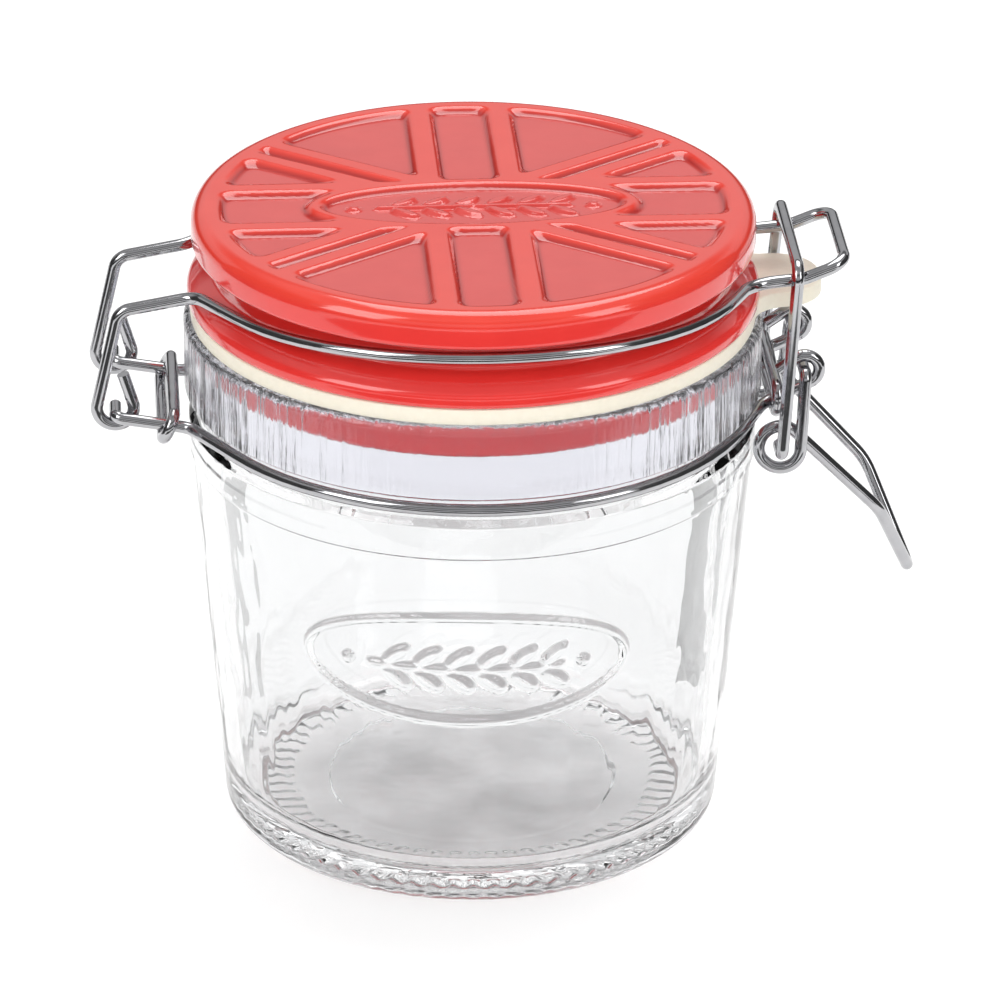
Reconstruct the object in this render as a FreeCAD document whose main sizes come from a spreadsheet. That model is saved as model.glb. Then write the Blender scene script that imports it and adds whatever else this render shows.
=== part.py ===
import FreeCAD, Part
import math
import os

import Sketcher

# A clip-top jar, shut and latched: a tapered glass jar, a glazed ceramic lid on a rubber seal, and
# the sprung wire work that holds them together. Millimetres, +Z up. The hinge is on the -X side and
# the latch on the +X side. All but the seal's tab and the neck wires' hinge ends is symmetric about the
# XZ plane. The jar stands on Z = 0. The origin is the middle of the whole object's footprint, so the
# glass axis lies at axis_x.

os.makedirs("parts", exist_ok=True)

doc = FreeCAD.newDocument("ClipTopJar")
sheet = doc.addObject("Spreadsheet::Sheet", "Sizes")

SIZES = [
    # glass jar
    ("glass_height", 86.7),
    ("body_taper", 4.9),
    ("shoulder_step", 1.1),
    ("shoulder_bead", 0.45),
    ("shoulder_drop", 23.0),
    ("band_radius", 46.2),
    ("band_height", 12.1),
    ("neck_depth", 1.8),
    ("neck_width", 3.6),
    ("glass_wall", 3.0),
    ("lip_width", 4.8),
    ("floor_thickness", 5.0),
    ("foot_width", 4.6),
    ("push_up", 1.3),
    ("push_up_step", 0.5),
    ("push_up_inset", 16.6),
    ("heel_round", 2.8),
    ("inner_heel_round", 5.0),
    ("lip_round", 1.5),
    ("neck_round", 0.5),
    # rubber seal
    ("seal_thickness", 2.7),
    ("seal_inset", 1.1),
    ("seal_clearance", 0.5),
    ("tab_length", 11.3),
    ("tab_half_width", 8.0),
    ("tab_thickness", 2.0),
    ("tab_round", 7.0),
    ("tab_root_round", 6.0),
    ("tab_overlap", 0.1),
    ("tab_shift", 5.8954),
    # ceramic lid
    ("plug_clearance", 1.0),
    ("plug_depth", 9.8),
    ("plug_chamfer", 1.4),
    ("flange_inset", 0.6),
    ("flange_edge", 2.4),
    ("flange_height", 5.2),
    ("flange_round", 1.0),
    ("waist_depth", 4.0),
    ("waist_top", 8.9),
    ("cap_inset", 1.4),
    ("cap_underside", 0.8),
    ("lid_height", 15.4),
    ("cap_round", 2.2),
    ("lid_wall", 5.9),
    ("lid_roof", 5.9),
    ("lid_rim", 4.4),
    ("relief_depth", 0.9),
    ("cross_half_width", 4.9),
    ("arm_half_width", 6.2),
    ("rib_width", 3.2),
    ("saltire_half_width", 1.1),
    ("saltire_angle", 36.0),
    ("cartouche_length", 52.0),
    ("cartouche_width", 20.0),
    ("cartouche_frame", 1.8),
    # wire work
    ("wire_size", 2.0),
    ("seat_gap", 0.1),
    ("side_gap", 0.25),
    ("latch_turn", 25.0),
    # neck wires
    ("neck_eye_offset", 3.9397),
    ("neck_eye_rise", 6.15),
    ("neck_eye_slack", 0.4),
    ("neck_eye_spread", 9.1),
    ("neck_rise_angle", 25.0),
    ("pigtail_angle", 215.0),
    ("pigtail_length", 3.4),
    ("neck_bend", 3.0),
    ("front_corner_offset", 0.0918),
    ("rear_corner_offset", 0.0583),
    # hinge
    ("hinge_offset", 11.1),
    ("hinge_rise", 2.05),
    ("hinge_eye_slack", 0.9),
    ("hinge_spread", 10.8),
    ("hinge_tail_inset", 1.3),
    ("hinge_tail_rise", 5.8),
    ("hinge_corner_inset", 0.8),
    ("hinge_corner_lift", 2.6),
    ("hinge_corner_bend", 2.8),
    ("pin_length", 4.8),
    ("pin_bend", 1.3),
    # lid wire
    ("lid_wire_slack", 1.2),
    ("lid_wire_turn", 150.0),
    ("crown_gap", 0.5),
    ("lid_wire_drop", 3.3),
    ("hinge_side_bend", 4.0),
    ("latch_side_bend", 6.0),
    ("nose_spread", 10.9),
    ("nose_lift", 4.8),
    ("nose_kink_offset", 6.1),
    ("nose_offset", 12.6),
    ("nose_tip_lift", 8.4),
    ("nose_kink_bend", 4.0),
    ("nose_bend", 3.2),
    # tie links
    ("hinge_tie_offset", 2.8),
    ("hinge_tie_lean", 25.0),
    ("latch_tie_offset", 0.9397),
    # draw loop and lever
    ("draw_bar_offset", 2.2),
    ("draw_bar_clearance", 0.8),
    ("draw_side_gap", 0.9),
    ("draw_bend", 2.4),
    ("draw_pin_length", 4.6),
    ("coil_inset", 4.1),
    ("coil_drop", 5.65),
    ("coil_slack", 1.3),
    ("coil_flare", 3.25),
    ("coil_gap", 0.5),
    ("hook_length", 4.2),
    ("hook_bend", 1.3),
    ("elbow_offset", 16.9),
    ("elbow_drop", 13.15),
    ("elbow_spread", 9.6),
    ("elbow_bend", 9.0),
    ("tip_offset", 6.1),
    ("tip_drop", 14.3),
    ("tip_spread", 1.2),
    ("tip_bend", 1.1),
]

# Sizes that fit to another piece: each follows a size above by a named step or clearance.
FITTED = [
    ("shoulder_radius", "band_radius - shoulder_step"),
    ("base_radius", "shoulder_radius - body_taper"),
    ("mouth_radius", "band_radius - lip_width"),
    ("push_up_radius", "base_radius - push_up_inset"),
    ("neck_radius", "band_radius - neck_depth"),
    ("neck_top", "glass_height - band_height"),
    ("neck_middle", "neck_top - neck_width / 2 - neck_round / 2"),
    ("bead_bottom", "glass_height - shoulder_drop"),
    ("seal_top", "glass_height + seal_thickness"),
    ("seal_radius", "band_radius - seal_inset"),
    ("plug_radius", "mouth_radius - plug_clearance"),
    ("seal_bore", "plug_radius + seal_clearance"),
    ("tab_reach", "seal_radius + tab_length"),
    ("tab_turn", "asin(tab_shift / tab_reach) / 1deg"),
    ("flange_radius", "band_radius - flange_inset"),
    ("waist_radius", "flange_radius - waist_depth"),
    ("cap_radius", "band_radius - cap_inset"),
    ("lid_top", "seal_top + lid_height"),
    ("lid_hollow_radius", "plug_radius - lid_wall"),
    ("relief_radius", "cap_radius - lid_rim"),
    ("relief_floor", "lid_top - relief_depth"),
    ("neck_wire_radius", "neck_radius + wire_size / 2 + seat_gap"),
    ("latch_corner_reach",
     "(neck_wire_radius - neck_eye_spread * sin(latch_turn * 1deg)) / cos(latch_turn * 1deg)"),
    ("neck_eye_radius", "wire_size + neck_eye_slack"),
    ("neck_eye_reach", "latch_corner_reach + neck_eye_radius + neck_eye_offset"),
    ("neck_eye_height", "neck_middle + neck_eye_rise"),
    ("hinge_reach", "band_radius + hinge_offset"),
    ("hinge_pin_height", "neck_middle + hinge_rise"),
    ("hinge_eye_radius", "wire_size + hinge_eye_slack"),
    ("hinge_eye_height", "hinge_pin_height + hinge_eye_slack - seat_gap"),
    ("hinge_tail_reach", "hinge_reach - hinge_tail_inset"),
    ("hinge_tail_height", "hinge_eye_height + hinge_tail_rise"),
    ("hinge_corner_reach", "hinge_reach - hinge_corner_inset"),
    ("hinge_corner_height", "seal_top + hinge_corner_lift"),
    ("front_spread", "hinge_spread + wire_size + seat_gap"),
    ("rear_spread", "hinge_spread - wire_size - seat_gap"),
    ("front_corner_reach", "neck_wire_radius + front_corner_offset"),
    ("rear_corner_reach", "neck_wire_radius + rear_corner_offset"),
    ("lid_wire_radius", "waist_radius + wire_size / 2 + lid_wire_slack"),
    ("lid_wire_crown", "seal_top + waist_top + cap_underside - wire_size / 2 - crown_gap"),
    ("nose_level", "seal_top + wire_size / 2 + nose_lift"),
    ("nose_kink_reach", "flange_radius + nose_kink_offset"),
    ("nose_reach", "flange_radius + nose_offset"),
    ("nose_height", "seal_top + nose_tip_lift"),
    ("hinge_tie_reach", "band_radius + hinge_tie_offset"),
    ("latch_tie_reach", "latch_corner_reach + wire_size / 2 + latch_tie_offset"),
    ("lever_spread", "neck_eye_spread + wire_size + side_gap"),
    ("coil_reach", "neck_eye_reach - coil_inset"),
    ("coil_height", "neck_eye_height - 3 * wire_size - coil_drop"),
    ("coil_radius", "wire_size + coil_slack"),
    ("coil_spread", "lever_spread + coil_flare"),
    ("coil_pitch", "wire_size + coil_gap"),
    ("elbow_reach", "coil_reach + elbow_offset"),
    ("elbow_height", "coil_height - elbow_drop"),
    ("tip_reach", "elbow_reach + tip_offset"),
    ("tip_height", "elbow_height - tip_drop"),
    ("draw_foot_spread", "coil_spread + wire_size + side_gap"),
    ("draw_spread", "nose_spread + wire_size + draw_side_gap"),
    ("draw_bar_reach", "coil_reach + draw_bar_offset"),
    ("draw_bar_height", "nose_level + wire_size + draw_bar_clearance"),
    ("axis_x", "(hinge_reach + hinge_eye_radius - tip_reach) / 2"),
]

cells = [(name, str(value)) for name, value in SIZES]
cells += [(name, "=" + formula) for name, formula in FITTED]
for row, (name, content) in enumerate(cells, start=1):
    sheet.set("A%d" % row, name)
    sheet.set("B%d" % row, content)
    sheet.setAlias("B%d" % row, name)
doc.recompute()


def value_of(expression):
    """The number that an expression on the sheet gives now."""
    found = sheet.evalExpression(expression)
    return float(getattr(found, "Value", found))


def size(name):
    return value_of("Sizes." + name)


def keep(feature, label):
    """Names a finished sub-part and sets it down on the glass axis."""
    feature.Label = label
    feature.setExpression("Placement.Base.x", "Sizes.axis_x")
    nodes.append(feature)
    return feature


nodes = []

# A bend that follows a circle is this share of its radius, so that straight runs part the arcs.
SNUG = 0.97


# ---------------------------------------------------------------- turned pieces


def bind_coordinate(sketch, kind, line, expression):
    """Ties one coordinate of a line's start point to the sheet, or puts it on the axis at zero."""
    number = value_of(expression)
    if abs(number) < 1e-9:
        axis = -2 if kind == "DistanceX" else -1
        sketch.addConstraint(Sketcher.Constraint("PointOnObject", line, 1, axis))
        return
    index = sketch.addConstraint(Sketcher.Constraint(kind, -1, 1, line, 1, number))
    sketch.setExpression("Constraints[%d]" % index, expression)


def turned_body(name, outline):
    """A body turned round Z from a closed outline of (radius, height) expressions."""
    body = doc.addObject("PartDesign::Body", name)
    sketch = body.newObject("Sketcher::SketchObject", name + "_outline")
    plane = [item for item in body.Origin.OriginFeatures if item.Role == "XZ_Plane"][0]
    sketch.AttachmentSupport = [(plane, "")]
    sketch.MapMode = "FlatFace"
    corners = [FreeCAD.Vector(value_of(r), value_of(z), 0) for r, z in outline]
    count = len(corners)
    for index in range(count):
        line = Part.LineSegment(corners[index], corners[(index + 1) % count])
        sketch.addGeometry(line, False)
    for index in range(count):
        following = (index + 1) % count
        sketch.addConstraint(Sketcher.Constraint("Coincident", index, 2, following, 1))
    for index, (radius, height) in enumerate(outline):
        bind_coordinate(sketch, "DistanceX", index, radius)
        bind_coordinate(sketch, "DistanceY", index, height)
    turning = body.newObject("PartDesign::Revolution", name + "_turning")
    turning.Profile = sketch
    turning.ReferenceAxis = (sketch, ["V_Axis"])
    turning.Angle = 360
    doc.recompute()
    return body


def round_edges(body, name, corners, radius):
    """Rounds the circular edges of a turned body that pass through (radius, height) corners."""
    wanted = [(value_of(r), value_of(z)) for r, z in corners]
    base = body.Tip
    edges = []
    for index, edge in enumerate(base.Shape.Edges, start=1):
        curve = edge.Curve
        if not isinstance(curve, Part.Circle):
            continue
        for wide, high in wanted:
            if abs(curve.Radius - wide) < 1e-4 and abs(curve.Center.z - high) < 1e-4:
                edges.append("Edge%d" % index)
    fillet = body.newObject("PartDesign::Fillet", name)
    fillet.Base = (base, edges)
    fillet.setExpression("Radius", radius)
    doc.recompute()
    return fillet


def make_glass():
    """The jar: a tapered wall on a pushed-up base, a shoulder bead, the wire's neck and a lip band."""
    taper = "(Sizes.shoulder_radius - Sizes.base_radius) / Sizes.bead_bottom"
    foot_inner = "Sizes.base_radius - Sizes.heel_round - Sizes.foot_width / 2"
    bead_radius = "Sizes.shoulder_radius + Sizes.shoulder_bead"
    neck_bottom = "Sizes.neck_top - Sizes.neck_width"
    inner_top = "Sizes.mouth_radius"
    heel = ("Sizes.base_radius", "0")
    groove_low = ("Sizes.neck_radius", neck_bottom + " - Sizes.neck_round")
    groove_high = ("Sizes.neck_radius", "Sizes.neck_top - Sizes.neck_depth / 2")
    band_low = ("Sizes.band_radius", "Sizes.neck_top")
    lip_outer = ("Sizes.band_radius", "Sizes.glass_height")
    lip_inner = (inner_top, "Sizes.glass_height")
    floor_corner = ("Sizes.base_radius - Sizes.glass_wall + Sizes.floor_thickness * " + taper,
                    "Sizes.floor_thickness")
    outline = [
        ("0", "Sizes.push_up + Sizes.push_up_step"),
        ("Sizes.push_up_radius", "Sizes.push_up + Sizes.push_up_step"),
        ("Sizes.push_up_radius + Sizes.push_up_step", "Sizes.push_up"),
        (foot_inner + " - Sizes.push_up", "Sizes.push_up"),
        (foot_inner, "0"),
        heel,
        ("Sizes.shoulder_radius", "Sizes.bead_bottom"),
        (bead_radius, "Sizes.bead_bottom + Sizes.shoulder_bead"),
        (bead_radius, neck_bottom + " - Sizes.neck_depth"),
        groove_low,
        groove_high,
        band_low,
        lip_outer,
        lip_inner,
        (inner_top, "Sizes.bead_bottom"),
        floor_corner,
        ("0", "Sizes.floor_thickness"),
    ]
    body = turned_body("Glass", outline)
    round_edges(body, "HeelRound", [heel], "Sizes.heel_round")
    round_edges(body, "InnerHeelRound", [floor_corner], "Sizes.inner_heel_round")
    round_edges(body, "LipRound", [lip_outer, lip_inner], "Sizes.lip_round")
    round_edges(body, "NeckRound", [groove_low, groove_high, band_low], "Sizes.neck_round")
    return keep(body, "jar_glass")


def make_lid():
    """The lid: a hollow plug, a flange on the seal, a waist for the wire and a cap with raised ribs."""
    flange_top = "Sizes.seal_top + Sizes.flange_height"
    waist_high = "Sizes.seal_top + Sizes.waist_top"
    flange_low = ("Sizes.flange_radius", "Sizes.seal_top")
    flange_edge = ("Sizes.flange_radius", "Sizes.seal_top + Sizes.flange_edge")
    flange_inner = ("Sizes.waist_radius", flange_top)
    cap_low = ("Sizes.cap_radius", waist_high + " + Sizes.cap_underside")
    cap_edge = ("Sizes.cap_radius", "Sizes.lid_top")
    plug_bottom = "Sizes.seal_top - Sizes.plug_depth"
    roof = "Sizes.lid_top - Sizes.lid_roof"
    outline = [
        ("0", roof),
        ("Sizes.lid_hollow_radius", roof),
        ("Sizes.lid_hollow_radius", plug_bottom),
        ("Sizes.plug_radius - Sizes.plug_chamfer", plug_bottom),
        ("Sizes.plug_radius", plug_bottom + " + Sizes.plug_chamfer"),
        ("Sizes.plug_radius", "Sizes.seal_top"),
        flange_low,
        flange_edge,
        flange_inner,
        ("Sizes.waist_radius", waist_high),
        cap_low,
        cap_edge,
        ("Sizes.relief_radius + Sizes.relief_depth", "Sizes.lid_top"),
        ("Sizes.relief_radius", "Sizes.relief_floor"),
        ("0", "Sizes.relief_floor"),
    ]
    body = turned_body("LidBlank", outline)
    round_edges(body, "CapRound", [cap_edge], "Sizes.cap_round")
    round_edges(body, "FlangeRound", [flange_low, flange_edge, cap_low], "Sizes.flange_round")
    lid = doc.addObject("Part::MultiFuse", "Lid")
    lid.Shapes = [body] + relief_ribs()
    return keep(lid, "lid")


def relief_bar(name, half_width, turn):
    """A flat bar across the whole recess of the lid's top, turned about the axis."""
    bar = doc.addObject("Part::Box", name)
    bar.setExpression("Length", "2 * Sizes.relief_radius + 2 * Sizes.rib_width")
    bar.setExpression("Width", "2 * (" + half_width + ")")
    bar.setExpression("Height", "Sizes.relief_depth")
    angle = value_of(turn)
    doc.recompute()
    centre = FreeCAD.Vector(-bar.Length.Value / 2, -bar.Width.Value / 2, 0)
    spin = FreeCAD.Rotation(FreeCAD.Vector(0, 0, 1), angle)
    lift = FreeCAD.Vector(0, 0, value_of("Sizes.relief_floor"))
    bar.Placement = FreeCAD.Placement(lift + spin.multVec(centre), spin)
    return bar


def oval_plate(name, shrink):
    """The cartouche's oval, made smaller all round by an expression."""
    oval = doc.addObject("Part::Ellipse", name + "_outline")
    oval.setExpression("MajorRadius", "Sizes.cartouche_length / 2 - " + shrink)
    oval.setExpression("MinorRadius", "Sizes.cartouche_width / 2 - " + shrink)
    oval.setExpression("Placement.Base.z", "Sizes.relief_floor")
    plate = doc.addObject("Part::Extrusion", name)
    plate.Base = oval
    plate.Dir = FreeCAD.Vector(0, 0, 1)
    plate.Solid = True
    plate.setExpression("LengthFwd", "Sizes.relief_depth")
    return plate


def cut_of(name, base, tool):
    cut = doc.addObject("Part::Cut", name)
    cut.Base = base
    cut.Tool = tool
    return cut


def fused(name, shapes):
    union = doc.addObject("Part::MultiFuse", name)
    union.Shapes = shapes
    return union


def relief_ribs():
    """Raised ribs along an upright cross and a saltire, round an oval cartouche with a plain field."""
    rib = " + Sizes.rib_width"
    cross = fused("CrossOuter", [
        relief_bar("ArmOuter", "Sizes.arm_half_width" + rib, "0"),
        relief_bar("PostOuter", "Sizes.cross_half_width" + rib, "90"),
    ])
    cross_field = fused("CrossField", [
        relief_bar("ArmField", "Sizes.arm_half_width", "0"),
        relief_bar("PostField", "Sizes.cross_half_width", "90"),
    ])
    diagonals = fused("SaltireOuter", [
        relief_bar("RisingOuter", "Sizes.saltire_half_width" + rib, "Sizes.saltire_angle"),
        relief_bar("FallingOuter", "Sizes.saltire_half_width" + rib, "-Sizes.saltire_angle"),
    ])
    diagonal_fields = fused("SaltireField", [
        relief_bar("RisingField", "Sizes.saltire_half_width", "Sizes.saltire_angle"),
        relief_bar("FallingField", "Sizes.saltire_half_width", "-Sizes.saltire_angle"),
    ])
    diagonal_ribs = cut_of("SaltireRibs", cut_of("SaltireSplit", diagonals, diagonal_fields), cross)
    straight_ribs = cut_of("CrossRibs", cross, cross_field)
    pattern = fused("RibPattern", [straight_ribs, diagonal_ribs])
    recess = doc.addObject("Part::Cylinder", "ReliefRecess")
    recess.setExpression("Radius", "Sizes.relief_radius + Sizes.relief_depth")
    recess.setExpression("Height", "Sizes.relief_depth")
    recess.setExpression("Placement.Base.z", "Sizes.relief_floor")
    trimmed = doc.addObject("Part::Common", "RibsInRecess")
    trimmed.Base = cut_of("RibsRoundOval", pattern, oval_plate("OvalOuter", "0"))
    trimmed.Tool = recess
    oval_frame = cut_of("OvalFrame", oval_plate("OvalRim", "0"),
                        oval_plate("OvalField", "Sizes.cartouche_frame"))
    return [trimmed, oval_frame]


def tab_outline():
    """The pull tab's closed outline along +X, whose root curves reach just inside the ring's edge."""
    ring = size("seal_radius") - size("tab_overlap")
    half_width = size("tab_half_width")
    tip_round = min(size("tab_round"), half_width * SNUG)
    side_end = FreeCAD.Vector(size("tab_reach") - tip_round, -half_width, 0)
    room = (side_end.x ** 2 - ring ** 2 + half_width ** 2) / (2 * (ring - half_width))
    root = min(size("tab_root_round"), room * SNUG)
    from_axis = ring + root
    centre = FreeCAD.Vector(math.sqrt(from_axis ** 2 - (half_width + root) ** 2), -half_width - root, 0)
    on_ring = centre * (ring / from_axis)
    on_side = centre + FreeCAD.Vector(0, root, 0)
    root_middle = centre + (on_ring + on_side - centre * 2).normalize() * root
    tip_start = side_end + FreeCAD.Vector(tip_round, tip_round, 0)
    tip_centre = side_end + FreeCAD.Vector(0, tip_round, 0)
    tip_middle = tip_centre + (side_end + tip_start - tip_centre * 2).normalize() * tip_round

    def side(turn):
        """The edges of one side; turn is 1 for the -Y side and -1 for the other."""
        points = [FreeCAD.Vector(p.x, p.y * turn, 0)
                  for p in (on_ring, root_middle, on_side, side_end, tip_middle, tip_start)]
        return [Part.Arc(*points[:3]).toShape(), Part.LineSegment(*points[2:4]).toShape(),
                Part.Arc(*points[3:]).toShape()]

    def across(point):
        return Part.LineSegment(point, FreeCAD.Vector(point.x, -point.y, 0)).toShape()

    edges = side(1) + [across(tip_start)] + list(reversed(side(-1))) + [across(on_ring)]
    return Part.Wire(Part.sortEdges(edges)[0])


def make_seal():
    """The flat seal between the glass lip and the flange, with the pull tab under the lid wire's nose."""
    ring = doc.addObject("Part::Cylinder", "SealDisc")
    ring.setExpression("Radius", "Sizes.seal_radius")
    ring.setExpression("Height", "Sizes.seal_thickness")
    ring.setExpression("Placement.Base.z", "Sizes.glass_height")
    outline = doc.addObject("Part::Feature", "TabOutline")
    outline.Shape = tab_outline()
    turn = FreeCAD.Rotation(FreeCAD.Vector(0, 0, 1), size("tab_turn"))
    outline.Placement = FreeCAD.Placement(FreeCAD.Vector(0, 0, 0), turn)
    outline.setExpression("Placement.Base.z",
                          "Sizes.glass_height + (Sizes.seal_thickness - Sizes.tab_thickness) / 2")
    tab = doc.addObject("Part::Extrusion", "Tab")
    tab.Base = outline
    tab.Dir = FreeCAD.Vector(0, 0, 1)
    tab.Solid = True
    tab.setExpression("LengthFwd", "Sizes.tab_thickness")
    bore = doc.addObject("Part::Cylinder", "SealBore")
    bore.setExpression("Radius", "Sizes.seal_bore")
    bore.setExpression("Height", "Sizes.seal_thickness")
    bore.setExpression("Placement.Base.z", "Sizes.glass_height")
    return keep(cut_of("Seal", fused("SealBlank", [ring, tab]), bore), "seal_ring")


# ---------------------------------------------------------------- wire forms


def rounded_path(points, radii, closed=False):
    """Straight runs through 3-D points, joined by tangent arcs of the given bend radii."""
    count = len(points)
    bends = []
    for index in range(count):
        here = points[index]
        if not closed and index in (0, count - 1):
            bends.append((here, None, here))
            continue
        back = (points[index - 1] - here).normalize()
        ahead = (points[(index + 1) % count] - here).normalize()
        half_opening = back.getAngle(ahead) / 2
        setback = radii[index] / math.tan(half_opening)
        bisector = (back + ahead).normalize()
        middle = here + bisector * (radii[index] / math.sin(half_opening) - radii[index])
        bends.append((here + back * setback, middle, here + ahead * setback))
    edges = []
    last = count if closed else count - 1
    for index in range(count):
        start, middle, end = bends[index]
        if middle is not None:
            edges.append(Part.Arc(start, middle, end).toShape())
        if index < last:
            following = bends[(index + 1) % count][0]
            edges.append(Part.LineSegment(end, following).toShape())
    return Part.Wire(edges)


def wire_form(label, corners, closed=False):
    """A round wire swept along (point, bend radius) corners."""
    points = [point for point, bend in corners]
    path = rounded_path(points, [bend for point, bend in corners], closed)
    spine = doc.addObject("Part::Feature", label + "_path")
    spine.Shape = path
    start = path.Edges[0]
    tangent = start.tangentAt(start.FirstParameter)
    section = doc.addObject("Part::Circle", label + "_section")
    section.setExpression("Radius", "Sizes.wire_size / 2")
    section.Placement = FreeCAD.Placement(
        start.valueAt(start.FirstParameter),
        FreeCAD.Rotation(FreeCAD.Vector(0, 0, 1), tangent))
    sweep = doc.addObject("Part::Sweep", label)
    sweep.Sections = [section]
    sweep.Spine = (spine, ["Edge%d" % (index + 1) for index in range(len(path.Edges))])
    sweep.Solid = True
    sweep.Frenet = False
    return keep(sweep, label)


def mirrored(corners):
    """The same corners on the other side of the XZ plane, in the opposite order."""
    return [(FreeCAD.Vector(p.x, -p.y, p.z), bend) for p, bend in reversed(corners)]


def ring_corners(radius, first_angle, last_angle, steps, height_at):
    """Corners whose rounding runs along a circle round the glass axis, on the -Y side."""
    step = (last_angle - first_angle) / steps
    reach = radius / math.cos(math.radians(step / 2))
    corners = []
    for index in range(steps):
        angle = math.radians(first_angle + (index + 0.5) * step)
        x = reach * math.cos(angle)
        corners.append((FreeCAD.Vector(x, reach * math.sin(angle), height_at(x)), radius * SNUG))
    return corners


def tangent_corner(radius, angle, y, height):
    """Where a strand that runs out along X at the given Y meets a ring's tangent at an angle."""
    turn = math.radians(angle)
    x = (radius - y * math.sin(turn)) / math.cos(turn)
    return FreeCAD.Vector(x, y, height)


def tangent_turn(radius, corner):
    """The angle at which the tangent from an outside corner on the hinge side touches a ring."""
    outward = math.degrees(math.atan2(corner.y, corner.x))
    return outward + math.degrees(math.acos(radius / math.hypot(corner.x, corner.y)))


def coil_corners(x, z, radius, first_angle, sweep, steps, y_start, y_end):
    """Corners whose rounding winds round (x, z) in the XZ plane while Y runs from start to end."""
    step = sweep / steps
    reach = radius / math.cos(math.radians(step / 2))
    corners = []
    for index in range(steps):
        share = (index + 0.5) / steps
        angle = math.radians(first_angle + share * sweep)
        point = FreeCAD.Vector(x + reach * math.cos(angle), y_start + share * (y_end - y_start),
                               z + reach * math.sin(angle))
        corners.append((point, radius * SNUG))
    return corners


def along(point, angle, length):
    """A point further on in the XZ plane, at an angle from +X."""
    turn = math.radians(angle)
    return point + FreeCAD.Vector(math.cos(turn), 0, math.sin(turn)) * length


def tangent_angle(centre, point, radius):
    """The angle at the centre of a circle, in the XZ plane, from a point to its tangent's contact."""
    return math.degrees(math.acos(radius / math.hypot(point.x - centre.x, point.z - centre.z)))


def heading(start, end):
    """The angle from +X, in the XZ plane, of the way from one point to another."""
    return math.degrees(math.atan2(end.z - start.z, end.x - start.x))


RING_STEPS = 5
COIL_STEPS = 5
EYE_STEPS = 3

wire = size("wire_size")
neck_middle = size("neck_middle")
lever_pivot = FreeCAD.Vector(size("neck_eye_reach"), 0, size("neck_eye_height"))
coil_centre = FreeCAD.Vector(size("coil_reach"), 0, size("coil_height"))


def shifted(point, y):
    return FreeCAD.Vector(point.x, y, point.z)


def neck_half(spread, pin_run, corner_reach):
    """Corners of a neck wire on the -Y side, from its hinge pin to its latch eye's tail."""
    pin_corner = FreeCAD.Vector(-size("hinge_reach"), -spread, size("hinge_pin_height"))
    pin_end = shifted(pin_corner, pin_run - spread)
    ring_radius = size("neck_wire_radius")
    hinge_side = FreeCAD.Vector(-corner_reach, -spread, neck_middle)
    turn = tangent_turn(ring_radius, hinge_side)
    eye_y = -size("neck_eye_spread")
    rise = size("neck_rise_angle")
    leave = size("pigtail_angle") - 90
    eye = coil_corners(lever_pivot.x, lever_pivot.z, size("neck_eye_radius"), rise - 90,
                       leave - rise + 90, EYE_STEPS, eye_y, eye_y)
    latch_side = tangent_corner(ring_radius, -size("latch_turn"), eye_y, neck_middle)
    first_eye = eye[0][0]
    latch_side.z = first_eye.z - (first_eye.x - latch_side.x) * math.tan(math.radians(rise))
    tail_start = along(shifted(lever_pivot, eye_y), leave, size("neck_eye_radius"))
    tail = along(tail_start, size("pigtail_angle"), size("pigtail_length"))
    ring = ring_corners(ring_radius, turn, -size("latch_turn"), RING_STEPS, lambda x: neck_middle)
    corners = [(pin_end, 0), (pin_corner, size("pin_bend")), (hinge_side, size("neck_bend"))]
    return corners + ring + [(latch_side, size("neck_bend"))] + eye + [(tail, 0)]


def make_neck_wires():
    """Two wires round the neck, tied by two links: each has a hinge pin and a latch eye.

    The front wire's strand passes outside its hinge eye and its pin points inwards; the rear
    wire's strand passes inside its eye and its pin points outwards.
    """
    front = neck_half(size("front_spread"), size("pin_length"), size("front_corner_reach"))
    rear = neck_half(size("rear_spread"), -size("pin_length"), size("rear_corner_reach"))
    wire_form("neck_wire_front", front)
    wire_form("neck_wire_rear", mirrored(rear))
    tie_link("tie_link_hinge", -size("hinge_tie_reach"), front[1:3], size("rear_spread"),
             size("hinge_tie_lean"))
    latch_side = 3 + RING_STEPS
    tie_link("tie_link_latch", size("latch_tie_reach"), front[latch_side:latch_side + 2],
             size("neck_eye_spread"), 0)


def tie_link(label, x, front_run, rear_spread, lean):
    """A closed link round a straight run of the front neck wire and the rear wire's one beside it."""
    start, end = [point for point, bend in front_run]
    slope = heading(start, end)
    height = start.z + (x - start.x) * math.tan(math.radians(slope))
    half_height = (wire + size("seat_gap")) / math.cos(math.radians(lean + slope))
    half_length = (rear_spread - start.y) / 2 + wire + size("seat_gap")
    centre = FreeCAD.Vector(x, (rear_spread + start.y) / 2, height)
    up = FreeCAD.Vector(math.sin(math.radians(lean)), 0, math.cos(math.radians(lean))) * half_height
    sideways = FreeCAD.Vector(0, half_length, 0)
    corners = [
        (centre + up - sideways, half_height * SNUG),
        (centre - up - sideways, half_height * SNUG),
        (centre - up + sideways, half_height * SNUG),
        (centre + up + sideways, half_height * SNUG),
    ]
    wire_form(label, corners, closed=True)


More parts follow.
